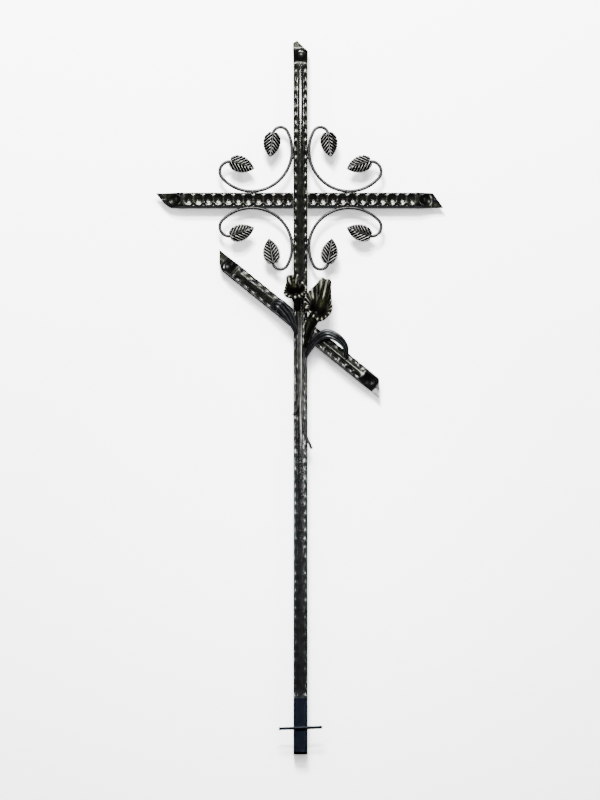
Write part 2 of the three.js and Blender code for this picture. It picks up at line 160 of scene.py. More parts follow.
def ironMaterial(name, look):
    shader = Shader(bpy.data.materials.new(name))
    place = shader.objectPlace()
    wrap = shader.node("ShaderNodeUVMap", {"uv_map": "wrap"}, {})
    worn = shader.node("ShaderNodeAttribute", {"attribute_name": "worn"}, {}, output=2)
    drawn = shader.node("ShaderNodeMapping", {}, {"Vector": wrap, "Scale": lacquer["drawn"]})
    streaks = shader.noise(drawn, 1.0, 3.0, 0.6)
    patches = shader.noise(place, lacquer["patchy"], 4.0, 0.65)
    dimples = shader.noise(place, lacquer["dimpled"], 2.0, 0.5)
    grain = shader.noise(place, lacquer["grainy"], 3.0, 0.65)
    share = lacquer["streakShare"]
    rubbed = worn.between(*lacquer["rubbedWear"]) * patches.between(*lacquer["rubbedPatches"])
    rubbed = rubbed * (streaks.between(*lacquer["rubbedStreaks"]) * share + (1 - share))
    rubbed = (rubbed * look["worn"]).clamped()
    paintedShadeMask = (worn * -1.0).clamped()  # painted shade: where worn is below 0 the colour turns near-black, the coat goes and the lacquer roughens
    cloudy = (patches * 0.5 + streaks * 0.5).between(*lacquer["cloudy"])
    height = shader.node("ShaderNodeSeparateXYZ", {}, {"Vector": place}, output=2)
    high = height.between(*lacquer["paintedLightHeight"])
    # painted light: the colour turns lighter and bluer towards the foot
    tint = shader.mix(high, (*look.get("low", look["tint"]), 1), (*look["tint"], 1))
    hollow = shader.mix(cloudy, (*look["black"], 1), tint)
    color = shader.mix(rubbed, hollow, (*look["silver"], 1))
    color = shader.mix(paintedShadeMask, color, lacquer["paintedShade"])
    uneven = 1 - (worn - 1.0).clamped()  # a spine that is worn past 1 is quite smooth
    rough = streaks.between(*lacquer["roughStreaks"]) * lacquer["roughSwing"]
    rough = rough + (look["rough"] - lacquer["roughShift"]) + rubbed * look["spread"]
    rough = (rough + paintedShadeMask * lacquer["paintedShadeRough"]).clamped()
    rough = rough * (uneven * (1 - lacquer["spineRough"]) + lacquer["spineRough"])
    relief = dimples * look["dimple"] + grain * look["grain"] + streaks * look["streak"]
    sockets = {"Strength": 1.0, "Distance": 1 * mm, "Height": relief * uneven}
    bump = shader.node("ShaderNodeBump", {}, sockets)
    sockets = {
        "Base Color": color,
        "Metallic": look["metal"],
        "Roughness": rough,
        "Normal": bump,
        "Coat Weight": (1 - paintedShadeMask) * look["coat"],
        "Coat Roughness": lacquer["coatRough"],
        "Coat IOR": lacquer["coatIndex"],
    }
    return shader.finish(shader.node("ShaderNodeBsdfPrincipled", {}, sockets))


materials = {name: ironMaterial(f"{name}Iron", look) for name, look in finishes.items()}
print("materials made")


def outwardFaces(bm):
    bmesh.ops.remove_doubles(bm, verts=bm.verts, dist=mergeWithin)
    bmesh.ops.recalc_face_normals(bm, faces=bm.faces)


# Meshes: a flat grid is bent onto a surface, whose function also says how worn each point is, and
# where shade is painted
def bentGrid(across, along, surfaceAt, size, wrapped=False):
    bm = bmesh.new()
    worn = bm.verts.layers.float.new("worn")
    bmesh.ops.create_grid(bm, x_segments=across, y_segments=along, size=0.5)
    wrap = bm.loops.layers.uv.new("wrap")  # metres round the piece and along it
    for face in bm.faces:
        for loop in face.loops:
            loop[wrap].uv = ((loop.vert.co.x + 0.5) * size[0], (loop.vert.co.y + 0.5) * size[1])
    for vertex in bm.verts:
        place, wearAndShade = surfaceAt(vertex.co.x + 0.5, vertex.co.y + 0.5)
        vertex.co = place
        vertex[worn] = wearAndShade
    if wrapped:
        bmesh.ops.remove_doubles(bm, verts=bm.verts, dist=mergeWithin)
    bmesh.ops.recalc_face_normals(bm, faces=bm.faces)
    return bm


def addObject(name, data):
    made = bpy.data.objects.new(name, data)
    bpy.context.scene.collection.objects.link(made)
    return made


def addPiece(name, bm, node, finish, sharpAngle=50):
    for face in bm.faces:
        face.smooth = True
    for edge in bm.edges:
        edge.smooth = edge.calc_face_angle(0) < math.radians(sharpAngle)
    mesh = bpy.data.meshes.new(name)
    bm.to_mesh(mesh)
    bm.free()
    for material in finish:
        mesh.materials.append(materials[material])
    piece = addObject(name, mesh)
    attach(piece, "root")
    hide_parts(node)
    return piece


def smoothValue(values, t):  # the same spline as the solids: evenly spaced stations
    last = len(values) - 1
    span = last * min(max(t, 0), 1)
    k = min(int(span), last - 1)
    f = span - k
    a, b, c, d = (values[min(max(k + step, 0), last)] for step in (-1, 0, 1, 2))
    v0 = (c - a) / 2
    v1 = (d - b) / 2
    return (2 * b - 2 * c + v0 + v1) * f**3 + (-3 * b + 3 * c - 2 * v0 - v1) * f**2 + v0 * f + b


# The hammered tubes
tube = dict(
    half=20 * mm, corner=1.9 * mm, crowding=1.35, wall=2 * mm, gap=0.3 * mm, flare=1.5 * mm,
    pinch=62 * mm, pinchArc=7 * mm, flat=14 * mm, thick=4.4 * mm, ease=14 * mm,
    dishInset=38 * mm, dish=16 * mm, dishDepth=5.5 * mm, rimRise=0.5 * mm, creaseHalf=1.6 * mm,
    # the last entry is how close to a fold the painted shade reaches
    jitter=0.12 * mm, jitterScale=90, freshDepth=1.1 * mm, spineShine=4 * mm, paintedShadeFold=4 * mm,
)
wearAndShadeOf = dict(
    # the negative entry marks painted shade, not wear
    plain=0.25, flat=0.45, spine=2.0, pinch=0.15, rim=0.4, crease=0.7, side=0.5, paintedShade=-0.75,
    cut=0.8, weld=0.5,
)
edgeDents = dict(
    place=14.4 * mm, half=4.2 * mm, depth=1.4 * mm, spine=5.8 * mm, spineEdge=1.8 * mm,
    spineRise=0.8 * mm, calmUpTo=0.85, calmOver=0.5, calmest=0.5,
)
ovalDents = dict(
    half=17.5 * mm, depth=2.2 * mm, notchPlace=18 * mm, notchHalf=4.5 * mm, notchDepth=1.6 * mm,
    notchLong=0.45,
)
armSeed = 100  # the arms' seeds start here, and the post's dents are all numbered below it


def roundedSquare(u):  # the tube's section, with its points closest together at the corners
    face = int(u * 4) % 4
    t = (u * 4 - int(u * 4)) * 2 - 1
    t = math.sin(t * tube["crowding"]) / math.sin(tube["crowding"])
    half = tube["half"]
    inner = half - tube["corner"]
    x, y = half, t * half
    ix, iy = inner, min(max(y, -inner), inner)
    dx, dy = x - ix, y - iy
    reach = math.hypot(dx, dy)
    x, y = ix + dx / reach * tube["corner"], iy + dy / reach * tube["corner"]
    nx, ny = dx / reach, dy / reach
    for _ in range(face):
        x, y = -y, x
        nx, ny = -ny, nx
    return x, y, nx, ny


# How deep the dents are at a across the face, along the cell of dent k, and s up the tube.
# The first kind is a row close to each corner, with a smooth spine between the two rows.
def edgeRow(a, along, k, s):
    side = 1 if a > 0 else -1
    luck = noise.noise(Vector((k * 1.7, side * 3.1, 0.4)))
    calm = 1
    if k < armSeed:  # low on the post the blows are lighter
        calm = (s - edgeDents["calmUpTo"]) / edgeDents["calmOver"]
        calm = min(max(calm, edgeDents["calmest"]), 1)
    depth = edgeDents["depth"] * (1 + 0.9 * luck) * calm
    slant = along + 0.5 * luck * (abs(a) - edgeDents["place"]) / edgeDents["half"]
    across = (abs(a) - edgeDents["place"] - 2 * luck * mm) / edgeDents["half"]
    dent = depth * max(0.0, 1 - across**2 - (slant * (1.2 - 0.4 * luck)) ** 2)
    spine = min(max((edgeDents["spine"] - abs(a)) / edgeDents["spineEdge"], 0), 1)
    return dent + edgeDents["spineRise"] * (1 - spine)


# The second kind is one chain nearly as wide as the face, with notches in the corners between
def ovalRow(a, along, k, s):
    luck = noise.noise(Vector((k * 2.3, 7.7, 1.9)))
    depth = ovalDents["depth"] * (1 + 0.35 * luck)
    tilt = along + 0.18 * luck * a / tube["half"]
    dent = depth * max(0.0, 1 - (a / ovalDents["half"]) ** 2 - (tilt * 1.12) ** 2)
    across = (abs(a) - ovalDents["notchPlace"]) / ovalDents["notchHalf"]
    beyond = (abs(along) - 1) / ovalDents["notchLong"]
    return dent + ovalDents["notchDepth"] * max(0.0, 1 - across**2 - beyond**2)


def tubeSurface(start, plain, middle, pitch, ovalOnFront, seed):
    pinchStart = middle - tube["pinch"]
    dishHeight = middle - tube["dishInset"]
    cells = round((pinchStart - plain) / pitch)
    cell = (pinchStart - plain) / cells
    stop = middle + tube["half"] * 1.5
    frontRow = ovalRow if ovalOnFront else edgeRow
    sideRow = edgeRow if ovalOnFront else ovalRow

    def surfaceAt(u, v):
        s = start + (stop - start) * v
        x, y, nx, ny = roundedSquare(u)
        wearAndShade = wearAndShadeOf["plain"]
        if plain < s < pinchStart:
            phase = (s - plain) / cell
            k = int(phase)
            along = (phase - k - 0.5) / 0.5
            ease = min(1, (s - plain) / tube["ease"], (pinchStart - s) / tube["ease"])
            front = frontRow(x, along, k + seed, s) * ny * ny * ease
            side = sideRow(y, along, k + seed + 100, s) * nx * nx
            depth = front + side
            x -= math.copysign(side, x)
            y -= math.copysign(front, y)
            wearAndShade = max(0.0, 1 - depth / tube["freshDepth"])
            wearAndShade *= 1.0 if abs(nx * ny) > 0.05 or abs(along) > 0.8 else wearAndShadeOf["flat"]
            if frontRow is edgeRow and abs(x) < tube["spineShine"]:
                wearAndShade = wearAndShadeOf["spine"]
        if s > pinchStart:
            late = tube["pinchArc"] * max(0.0, 1 - (x / tube["half"]) ** 2) * ny * ny
            q = max(s - pinchStart - late, 0) / (tube["pinch"] - tube["flat"] - late)
            q = min(q, 1)
            x *= 1 + tube["flare"] / tube["half"] * q
            y *= 1 + (tube["thick"] / 2 / tube["half"] - 1) * q
            broadSide = abs(ny) > 0.5
            reach = math.hypot(x, s - dishHeight) / tube["dish"]
            sunk = tube["dishDepth"] * max(0.0, 1 - reach**2) if broadSide else 0
            y -= math.copysign(sunk, y)
            rim = math.exp(-(((reach - 1.04) / 0.08) ** 2))
            pastDish = reach > 1 and s > dishHeight
            crease = math.exp(-((x / tube["creaseHalf"]) ** 2)) if pastDish else 0
            if broadSide:
                y += math.copysign(tube["rimRise"] * (rim + crease) * min(3 * q, 1), y)
            edge = wearAndShadeOf["side"] if abs(nx * ny) > 0.1 else 0
            wearAndShade = max(wearAndShadeOf["pinch"], wearAndShadeOf["rim"] * rim, wearAndShadeOf["crease"] * crease, edge)
            fold = min(abs(s - pinchStart - late), abs(s - middle + tube["flat"]))
            # painted shade: the dish and the two folds of the pinched end get near-black, uncoated
            # lacquer
            if broadSide and (sunk > 0 or fold < tube["paintedShadeFold"]):
                wearAndShade = wearAndShadeOf["paintedShade"]
        jitter = 0
        if wearAndShade <= 1:
            scale = tube["jitterScale"]
            jitter = tube["jitter"] * noise.noise(Vector((x * scale, y * scale, s * scale + seed)))
        return Vector((x + nx * jitter, y + ny * jitter, s)), wearAndShade

    return surfaceAt, stop - start, cell


def cutOff(bm, point, normal):  # takes away what lies past the plane, and closes the cut
    worn = bm.verts.layers.float["worn"]
    geometry = bm.verts[:] + bm.edges[:] + bm.faces[:]
    cut = bmesh.ops.bisect_plane(
        bm, geom=geometry, dist=0.001 * mm, plane_co=point, plane_no=normal, clear_outer=True
    )
    edges = [item for item in cut["geom_cut"] if isinstance(item, bmesh.types.BMEdge)]
    edges = [edge for edge in edges if edge.is_valid and edge.is_boundary]
    for edge in edges:
        for vertex in edge.verts:
            vertex[worn] = wearAndShadeOf["cut"]
    bmesh.ops.holes_fill(bm, edges=edges, sides=0)


def hammeredTube(start, plain, middle, pitch, ovalOnFront, seed, around, perCell):
    surfaceAt, length, cell = tubeSurface(start, plain, middle, pitch, ovalOnFront, seed)
    size = (8 * tube["half"], length)
    return bentGrid(around, round(length / cell * perCell), surfaceAt, size, wrapped=True)


def endPlanes(bm, middle, angle, tipInset, cornerRound, turned):
    slope = math.tan(math.radians(angle))
    sign = -1 if turned else 1
    half = tube["half"] + tube["flare"]
    cutOff(bm, Vector((0, 0, middle)), Vector((-sign * slope, 0, 1)))
    if tipInset:
        tip = half - tipInset
        cutOff(bm, Vector((sign * tip, 0, middle + slope * tip)), Vector((sign * 0.6, 0, 1)))
    for bend, share in ((0.3, 0.30), (0.62, 0.26)):  # two flats round off the lower corner
        lean = math.radians(angle) * (1 - bend) + math.radians(90) * bend
        corner = Vector((-sign * half, 0, middle - slope * half))
        normal = Vector((-sign * math.sin(lean), 0, math.cos(lean)))
        cutOff(bm, corner - normal * (cornerRound * share), normal)


post = dict(
    middle=2079 * mm, plain=160 * mm, pitch=25.5 * mm, angle=45, tipInset=11.5 * mm,
    cornerRound=1.5 * mm, seed=1, around=128, perCell=6, boreTaper=2 * mm, footEdge=4 * mm,
)


def makePost():
    bm = hammeredTube(
        0, post["plain"], post["middle"], post["pitch"], False,
        post["seed"], post["around"], post["perCell"],
    )
    endPlanes(bm, post["middle"], post["angle"], post["tipInset"], post["cornerRound"], True)
    rim = [edge for edge in bm.edges if edge.is_boundary]
    bore = tube["half"] - tube["wall"]
    boreTop = post["middle"] - 2 * tube["pinch"]
    for lift, size in ((0, bore), (boreTop, bore - post["boreTaper"])):
        made = bmesh.ops.extrude_edge_only(bm, edges=rim)
        rim = [item for item in made["geom"] if isinstance(item, bmesh.types.BMEdge)]
        for vertex in {vertex for edge in rim for vertex in edge.verts}:
            widest = max(abs(vertex.co.x), abs(vertex.co.y))
            vertex.co.x *= size / widest
            vertex.co.y *= size / widest
            vertex.co.z = lift
        rim = [edge for edge in rim if edge.is_boundary]
    bmesh.ops.holes_fill(bm, edges=rim, sides=0)
    outwardFaces(bm)
    footTop = post["plain"] - post["footEdge"]
    for face in bm.faces:
        face.material_index = 1 if face.calc_center_median().z < footTop else 0
    addPiece("hammeredPost", bm, "post", ["hammered", "foot"])


crossbarHeight = 1618 * mm
slantHeight = 1252.9 * mm
slantAngle = 39.7
level = dict(height=crossbarHeight, oval=True)
sloping = dict(height=slantHeight, oval=False, angle=slantAngle)
arms = {
    "crossbar_left": dict(level, turn=-90, length=397 * mm, angle=38, cornerRound=15 * mm),
    "crossbar_right": dict(level, turn=90, length=394 * mm, angle=35, cornerRound=3 * mm),
    "slanted_bar_upper": dict(
        sloping, turn=slantAngle - 90, length=301.6 * mm, cornerRound=14 * mm
    ),
    "slanted_bar_lower": dict(
        sloping, turn=slantAngle + 90, length=292.6 * mm, cornerRound=3 * mm
    ),
}
armStyle = dict(pitch=28 * mm, around=80, perCell=12, spare=4 * mm)


def makeArm(index, node, arm):
    turn = math.radians(arm["turn"])
    lean = abs(math.sin(turn))
    skew = abs(math.cos(turn)) / lean
    first = (tube["half"] + tube["gap"]) / lean
    plain = first + skew * tube["half"] + tube["gap"]
    start = first - skew * tube["half"] - armStyle["spare"]
    bm = hammeredTube(
        start, plain, arm["length"], armStyle["pitch"], arm["oval"],
        armSeed * (index + 1), armStyle["around"], armStyle["perCell"],
    )
    endPlanes(bm, arm["length"], arm["angle"], 0, arm["cornerRound"], False)
    place = Matrix.Translation((0, 0, arm["height"])) @ Matrix.Rotation(turn, 4, "Y")
    bmesh.ops.transform(bm, matrix=place, verts=bm.verts)
    side = math.copysign(1, math.sin(turn))
    cutOff(bm, Vector((side * (tube["half"] + tube["gap"]), 0, 0)), Vector((-side, 0, 0)))
    outwardFaces(bm)
    addPiece(node + "_hammered", bm, node, ["hammered"])


makePost()
for index, (node, arm) in enumerate(arms.items()):
    makeArm(index, node, arm)
print("tubes made")


# The scrolls: a round section is spun through the two hooks and the large bend between them
scroll = dict(
    rod=4.5 * mm, radius=115 * mm, innerRadius=22 * mm, outerRadius=28 * mm, innerSweep=28,
    outerSweep=47, innerHook=158, outerHook=152, upperStretch=1.045, plane=-12 * mm,
    standoff=4.3 * mm, sides=16,
)
scrollSteps = (("inner", 6), ("large", 2.5), ("outer", 6))  # degrees between two sections


def scrollBends():  # the centre, the radius and the two end angles of each bend
    reach = scroll["standoff"] + scroll["radius"]
    centre = Vector((reach, reach))
    low, high = 180 - scroll["innerSweep"], 270 + scroll["outerSweep"]
    bends = {"large": (centre, scroll["radius"], low, high)}
    hooks = {
        "inner": (low, low - scroll["innerHook"], low),
        "outer": (high, high, high + scroll["outerHook"]),
    }
    for name, (joint, start, stop) in hooks.items():
        turn = math.radians(joint)
        radius = scroll[name + "Radius"]
        offset = Vector((math.cos(turn), math.sin(turn))) * (scroll["radius"] - radius)
        bends[name] = (centre + offset, radius, start, stop)
    return bends


def onBend(bend, angle):
    centre, radius = bend[0], bend[1]
    turn = math.radians(angle)
    return centre + Vector((math.cos(turn), math.sin(turn))) * radius


# From a corner of the crossing to the cross: the upper scrolls are a little taller
def fromCorner(side, rise, x, depth, y):
    stretch = scroll["upperStretch"] if rise > 0 else 1
    height = crossbarHeight + rise * (tube["half"] + y * stretch)
    return Vector((side * (tube["half"] + x), depth, height))


def addWeld(bm, place, size, seed):  # a small bead where a rod is welded on
    worn = bm.verts.layers.float["worn"]
    made = bmesh.ops.create_icosphere(bm, subdivisions=3, radius=1)
    for vertex in made["verts"]:
        lump = 1 + 0.22 * noise.noise(vertex.co * 2.2 + Vector((seed, 0, 0)))
        vertex.co = place + Vector([a * b for a, b in zip(vertex.co * lump, size)])
        vertex[worn] = wearAndShadeOf["weld"]


def makeScroll(rise, side, node, seed):
    bends = scrollBends()
    bm = bmesh.new()
    worn = bm.verts.layers.float.new("worn")
    start = onBend(bends["inner"], bends["inner"][2])
    turn = math.radians(bends["inner"][2])
    made = bmesh.ops.create_circle(
        bm, cap_ends=False, radius=scroll["rod"], segments=scroll["sides"]
    )
    place = Matrix.Translation((start.x, 0, start.y)) @ Matrix.Rotation(-turn, 4, "Y")
    bmesh.ops.transform(bm, matrix=place, verts=made["verts"])
    ring = bm.edges[:]
    first = ring
    for name, stepAngle in scrollSteps:
        centre, radius, low, high = bends[name]
        spun = bmesh.ops.spin(
            bm, geom=ring, cent=(centre.x, 0, centre.y), axis=(0, -1, 0),
            angle=math.radians(high - low), steps=round((high - low) / stepAngle),
            use_duplicate=False,
        )
        ring = [item for item in spun["geom_last"] if isinstance(item, bmesh.types.BMEdge)]
    for end in (first, ring):
        bmesh.ops.holes_fill(bm, edges=[edge for edge in end if edge.is_valid], sides=0)
    outwardFaces(bm)
    for vertex in bm.verts:
        rough = noise.noise(vertex.co * 90 + Vector((seed, 0, 0)))
        vertex[worn] = 0.7 + 0.3 * rough
    for vertex in bm.verts:
        x, y, z = vertex.co
        vertex.co = fromCorner(side, rise, x, y + scroll["plane"], z)
    reach = bends["large"][0].x
    beads = [(0, reach + 3 * mm), (2 * mm, reach - 22 * mm), (reach - 4 * mm, 0)]
    for k, (x, z) in enumerate(beads):
        spot = fromCorner(side, rise, x + 1 * mm, scroll["plane"] - 2 * mm, z + 1 * mm)
        size = (3.2 * mm, 3.5 * mm, 5 * mm) if k < 2 else (5 * mm, 3.5 * mm, 3.2 * mm)
        addWeld(bm, spot, size, seed + k)
    outwardFaces(bm)
    addPiece(node + "_rod", bm, node, ["rod"])


# The stamped leaves
leafStyle = dict(
    length=73 * mm, width=48 * mm, sheet=1.2 * mm, relief=1.7 * mm, dome=3.0 * mm, lap=7 * mm,
    midrib=1.1 * mm, midribHalf=0.045, curl=0.15 * mm, veins=7, slope=0.36, stagger=0.06,
    tooth=0.07, tilt={"upper": {"inner": 7, "outer": 19}, "lower": {"inner": 10, "outer": 20}},
)


def leafSurface(seed):
    length, width, dome = leafStyle["length"], leafStyle["width"], leafStyle["dome"]

    def surfaceAt(u, v):
        across = 2 * u - 1
        off = abs(across)
        outline = max(math.sin(math.pi * min(0.03 + 0.97 * v, 1) ** 0.57), 0) ** 0.95
        sweep = 0.13 * off * math.sin(math.pi * v) - 0.035 * off * (1 - v) ** 4
        side = leafStyle["stagger"] if across > 0 else 0  # the veins don't meet at the midrib
        phase = leafStyle["veins"] * (v + sweep - leafStyle["slope"] * off * outline) + side
        tooth = 0.5 + 0.5 * math.cos(2 * math.pi * phase)
        ridge = tooth**3
        wide = max(outline, 0.02) * (1 + leafStyle["tooth"] * tooth * min(4 * v, 1))
        midrib = math.exp(-((off * outline / leafStyle["midribHalf"]) ** 2))
        lift = dome * (1 - off**1.7) + leafStyle["relief"] * ridge * min(off * 2.5, 1)
        if off * outline < 0.12:
            lift = max(lift, dome + leafStyle["midrib"] * midrib)
        curl = leafStyle["curl"] * noise.noise(Vector((across * 1.5, v * 2, seed)))
        depth = -leafStyle["sheet"] / 2 - lift + curl
        place = Vector((across * wide * width / 2, depth, length * (v + sweep)))
        edge = 0.6 if off > 0.94 else 0
        return place, max(ridge**3 * min(1, off * 4), midrib * 0.8, edge)

    return surfaceAt


def makeLeaf(name, rise, side, place, seed):
    bends = scrollBends()
    tilt = leafStyle["tilt"]["upper" if rise > 0 else "lower"][place]
    if place == "inner":
        point, angle = onBend(bends["inner"], bends["inner"][2]), -90 + tilt
    else:
        point, angle = onBend(bends["outer"], bends["outer"][3]), -180 + tilt
    direction = Vector((math.cos(math.radians(angle)), math.sin(math.radians(angle))))
    base = point - direction * leafStyle["lap"]
    bm = bentGrid(36, 120, leafSurface(seed), (leafStyle["width"], leafStyle["length"]))
    if bm.faces[0].normal.y > 0:
        bmesh.ops.reverse_faces(bm, faces=bm.faces)
    bmesh.ops.solidify(bm, geom=bm.faces[:], thickness=leafStyle["sheet"])
    turn = math.atan2(side * direction.x, rise * direction.y)
    depth = scroll["plane"] - scroll["rod"] - tube["gap"]
    spot = fromCorner(side, rise, base.x, depth, base.y)
    matrix = Matrix.Translation(spot) @ Matrix.Rotation(turn, 4, "Y")
    bmesh.ops.transform(bm, matrix=matrix, verts=bm.verts)
    outwardFaces(bm)
    addPiece(name + "_stamped", bm, name, ["leaf"], sharpAngle=60)


seed = 0
for riseName, rise in (("upper", 1), ("lower", -1)):
    for sideName, side in (("left", -1), ("right", 1)):
        seed += 10
        makeScroll(rise, side, f"scroll_{riseName}_{sideName}", seed)
        for place in ("inner", "outer"):
            seed += 1
            makeLeaf(f"leaf_{riseName}_{sideName}_{place}", rise, side, place, seed)
print("scrolls and leaves made")


# The spray of flowers. Tables as in the solids, in millimetres: right of the axis, out from the
# post, up from where the slanted bar's axis meets the post's.
sprayBase = Vector((0, -tube["half"], slantHeight))
collar = 5.6
flowers = {
    "left": dict(
        x=[-6, -8.5, -12, -14, -15], out=[9, 13.5, 19, 23, 27], up=[33, 54, 75, 88, 96],
        wide=[collar, 10.5, 16.5, 19, 21], long=[collar, 10.5, 13.5, 16, 19],
        tilt=[0, 14, 34, 50, 60], lean=[-6, -6, -4, -2, -6],
        ribs=19, folds=9, seam=0.62, rollTop=0.7,
        rim=[
            (17, 37, 92), (10, 28, 108), (-2, 19, 127), (-11, 13, 142),
            (-38, 15, 136), (-40, 24, 117), (-45, 34, 96), (-48, 41, 80),
            (-38, 45, 68), (-12, 46.5, 64), (5, 45, 72), (16, 41.5, 82),
        ],
    ),
    "right": dict(
        x=[12, 20, 34, 48, 58], out=[11, 18, 24, 26.5, 28], up=[-75, -41, 0, 24, 44],
        wide=[collar, 9.5, 17, 19.5, 21], long=[collar, 9.5, 15.5, 19, 25],
        tilt=[4, 10, 28, 48, 64], lean=[16, 18, 18, 14, 11],
        ribs=23, folds=9, seam=0.58, rollTop=0.2,
        rim=[
            (89, 31, 60), (87.5, 24, 92), (87, 17, 122), (74, 13, 126),
            (61, 13, 130), (38, 22, 103), (17, 31, 77), (10, 40, 46),
            (29, 47, 16), (51, 49, -3), (75, 48, 7), (91, 41, 32),
        ],
    ),
}
petal = dict(
    sheet=1.4 * mm, roll=4.2, rollTurn=135, rollFrom=0.9, rollOver=0.1, ribDepth=2.2,
    overlap=0.05, tuck=0.16, tuckFrom=0.9, tuckOver=0.1, throatTop=0.72,
    # the last entry is the strength of the painted shade in the throat
    openFrom=0.52, openOver=0.38, openPower=1.35, hollow=5.0, facing=(0, 0.94, 0.34), paintedShade=1.5,
)


def onSpray(x, out, up):
    return sprayBase + Vector((x, -out, up)) * mm


def aroundRim(rim, turn):  # a smooth closed line through the rim's points
    count = len(rim)
    place = (turn % 1) * count
    k = int(place)
    a, b, c, d = (Vector(rim[(k + step) % count]) for step in (-1, 0, 1, 2))
    f = place - k
    square = 2 * a - 5 * b + 4 * c - d
    cube = 3 * b - a - 3 * c + d
    return (2 * b + (c - a) * f + square * f**2 + cube * f**3) / 2


def petalSurface(flower):
    def at(key, v):
        return smoothValue(flower[key], v)

    middle = sum((Vector(point) for point in flower["rim"]), Vector()) / len(flower["rim"])
    facing = Vector(petal["facing"])

    def surfaceAt(u, v):
        turn = flower["seam"] + u * (1 + petal["overlap"])
        inside = max(0.0, (u - petal["tuckFrom"]) / petal["tuckOver"])
        tuck = 1 - petal["tuck"] * inside**2  # the last of the sheet goes inside
        low = min(v / petal["throatTop"], 1)
        angle = 2 * math.pi * turn
        lowSide = 0.5 - 0.5 * math.sin(angle)
        sway = 1.2 * noise.noise(Vector((turn * 9, v * 2, 0)))
        fine = math.cos(flower["ribs"] * angle + sway)
        broad = math.cos(flower["folds"] * angle + sway)
        ribs = broad + (fine - broad) * min(max(lowSide * 3 - 0.8, 0), 1)
        rib = petal["ribDepth"] * (0.15 + 0.85 * v**2) * ribs
        wide, long = at("wide", low) - 1, at("long", low) - 1
        ring = Vector((wide * math.cos(angle), long * math.sin(angle), 0))
        ring.rotate(Euler((math.radians(at("tilt", low)), 0, 0)))
        ring.rotate(Euler((0, math.radians(at("lean", low)), 0)))
        throat = Vector((at("x", low), at("out", low) + 0.3, at("up", low)))
        throat += Vector((ring.x, -ring.y, ring.z)) * (1 + rib * 0.02) * tuck
        edge = aroundRim(flower["rim"], turn)
        outward = (edge - middle).normalized()
        roll = petal["roll"] * (flower["rollTop"] + (1 - flower["rollTop"]) * lowSide)
        edge = middle + (edge - middle) * tuck - outward * roll
        open = min(max((v - petal["openFrom"]) / petal["openOver"], 0), 1) ** petal["openPower"]
        place = throat.lerp(edge, open)
        hollow = petal["hollow"] * math.sin(math.pi * open) * (1 - open)
        place += facing * (rib * open - hollow)
        if v > petal["rollFrom"]:
            curl = math.radians(petal["rollTurn"]) * (v - petal["rollFrom"])
            curl /= petal["rollOver"]
            place += outward * roll * math.sin(curl) - facing * roll * (1 - math.cos(curl))
            place += outward * rib * 0.5 * lowSide * math.sin(curl)
        luck = 0.75 + 1.3 * noise.noise(Vector((turn * 8.5, 3.3, flower["ribs"])))
        luck = min(max(luck, 0.3), 1)
        luck += (1 - luck) * lowSide**2
        # painted shade in the throat: the silver fades out towards it, and there the lacquer turns
        # near-black and uncoated
        lit = min(max(0.15, (v - 0.5 - 0.2 * lowSide) * 5), 1)
        wearAndShade = luck * (0.5 + 0.5 * ribs) ** (3 + lowSide) * lit
        deep = v - 0.50 - 0.10 * lowSide
        paintedShadeHalf = 0.16 if deep < 0 else 0.08 + 0.03 * lowSide
        wearAndShade -= petal["paintedShade"] * math.exp(-((deep / paintedShadeHalf) ** 2))
        return onSpray(*place), wearAndShade

    return surfaceAt


def makeFlower(name, flower):
    bm = bentGrid(flower["ribs"] * 9, 84, petalSurface(flower), (0.25, 0.2))
    node = "flower_" + name
    piece = addPiece("calla_" + name, bm, node, ["petal"], sharpAngle=80)
    wall = piece.modifiers.new("sheetWall", "SOLIDIFY")
    wall.thickness = petal["sheet"]
    wall.offset = 0
    wall.use_even_offset = False


for name, flower in flowers.items():
    makeFlower(name, flower)
print("flowers made")


stems = {
    "left": [
        (-14, 22, 83), (-10, 16, 62), (-6, 9, 33), (-4, 6, -3), (-3.6, 4.5, -63),
        (-3.4, 4.5, -139), (-3.6, 4.5, -203), (-8.3, 4.5, -243), (-14, 4.5, -260),
        (-21, 4.5, -271),
    ],
    "right": [
        (46, 25, 29), (34, 22, -3), (20, 17, -43), (12, 11, -75), (8.4, 6, -113),
        (7, 4.5, -168), (5.8, 4.5, -228), (6, 4.5, -268), (8, 4.5, -298), (12, 4.5, -320),
        (21, 4.5, -344), (33, 4.5, -369),
    ],
}
stemStyle = dict(radius=4.2 * mm, rounds=14, steps=240)


def onRoute(route, v):  # the stations of a stem or of a long leaf, joined by a smooth line
    return onSpray(*[smoothValue([station[axis] for station in route], v) for axis in range(3)])


def tangentAt(pointAt, v):
    step = 0.002
    return (pointAt(min(v + step, 1)) - pointAt(max(v - step, 0))).normalized()


def rodSurface(pointAt, radiusAt, seed):
    def surfaceAt(u, v):
        tangent = tangentAt(pointAt, v)
        side = Vector((0, -1, 0)).cross(tangent).normalized()
        rise = tangent.cross(side)
        turn = 2 * math.pi * u
        bump = noise.noise(Vector((math.cos(turn) * 1.5, math.sin(turn) * 1.5, v * 40 + seed)))
        radius = radiusAt(v) * (1 + 0.05 * bump)
        place = pointAt(v) + side * radius * math.cos(turn) + rise * radius * math.sin(turn)
        return place, 0.55 + 0.8 * bump

    return surfaceAt


def closeEnds(bm):
    bmesh.ops.holes_fill(bm, edges=[edge for edge in bm.edges if edge.is_boundary], sides=0)
    outwardFaces(bm)


def makeStem(name, route):
    def pointAt(v):
        return onRoute(route, v)

    def radiusAt(v):
        blunt = min(v / 0.012, 1) ** 0.5 * min((1 - v) / 0.008, 1) ** 0.4
        return stemStyle["radius"] * max(blunt, 0.35)

    surface = rodSurface(pointAt, radiusAt, len(route))
    bm = bentGrid(stemStyle["rounds"], stemStyle["steps"], surface, (0.026, 0.45), wrapped=True)
    closeEnds(bm)
    addPiece("stemRod_" + name, bm, "stem_" + name, ["rod"])


for name, route in stems.items():
    makeStem(name, route)


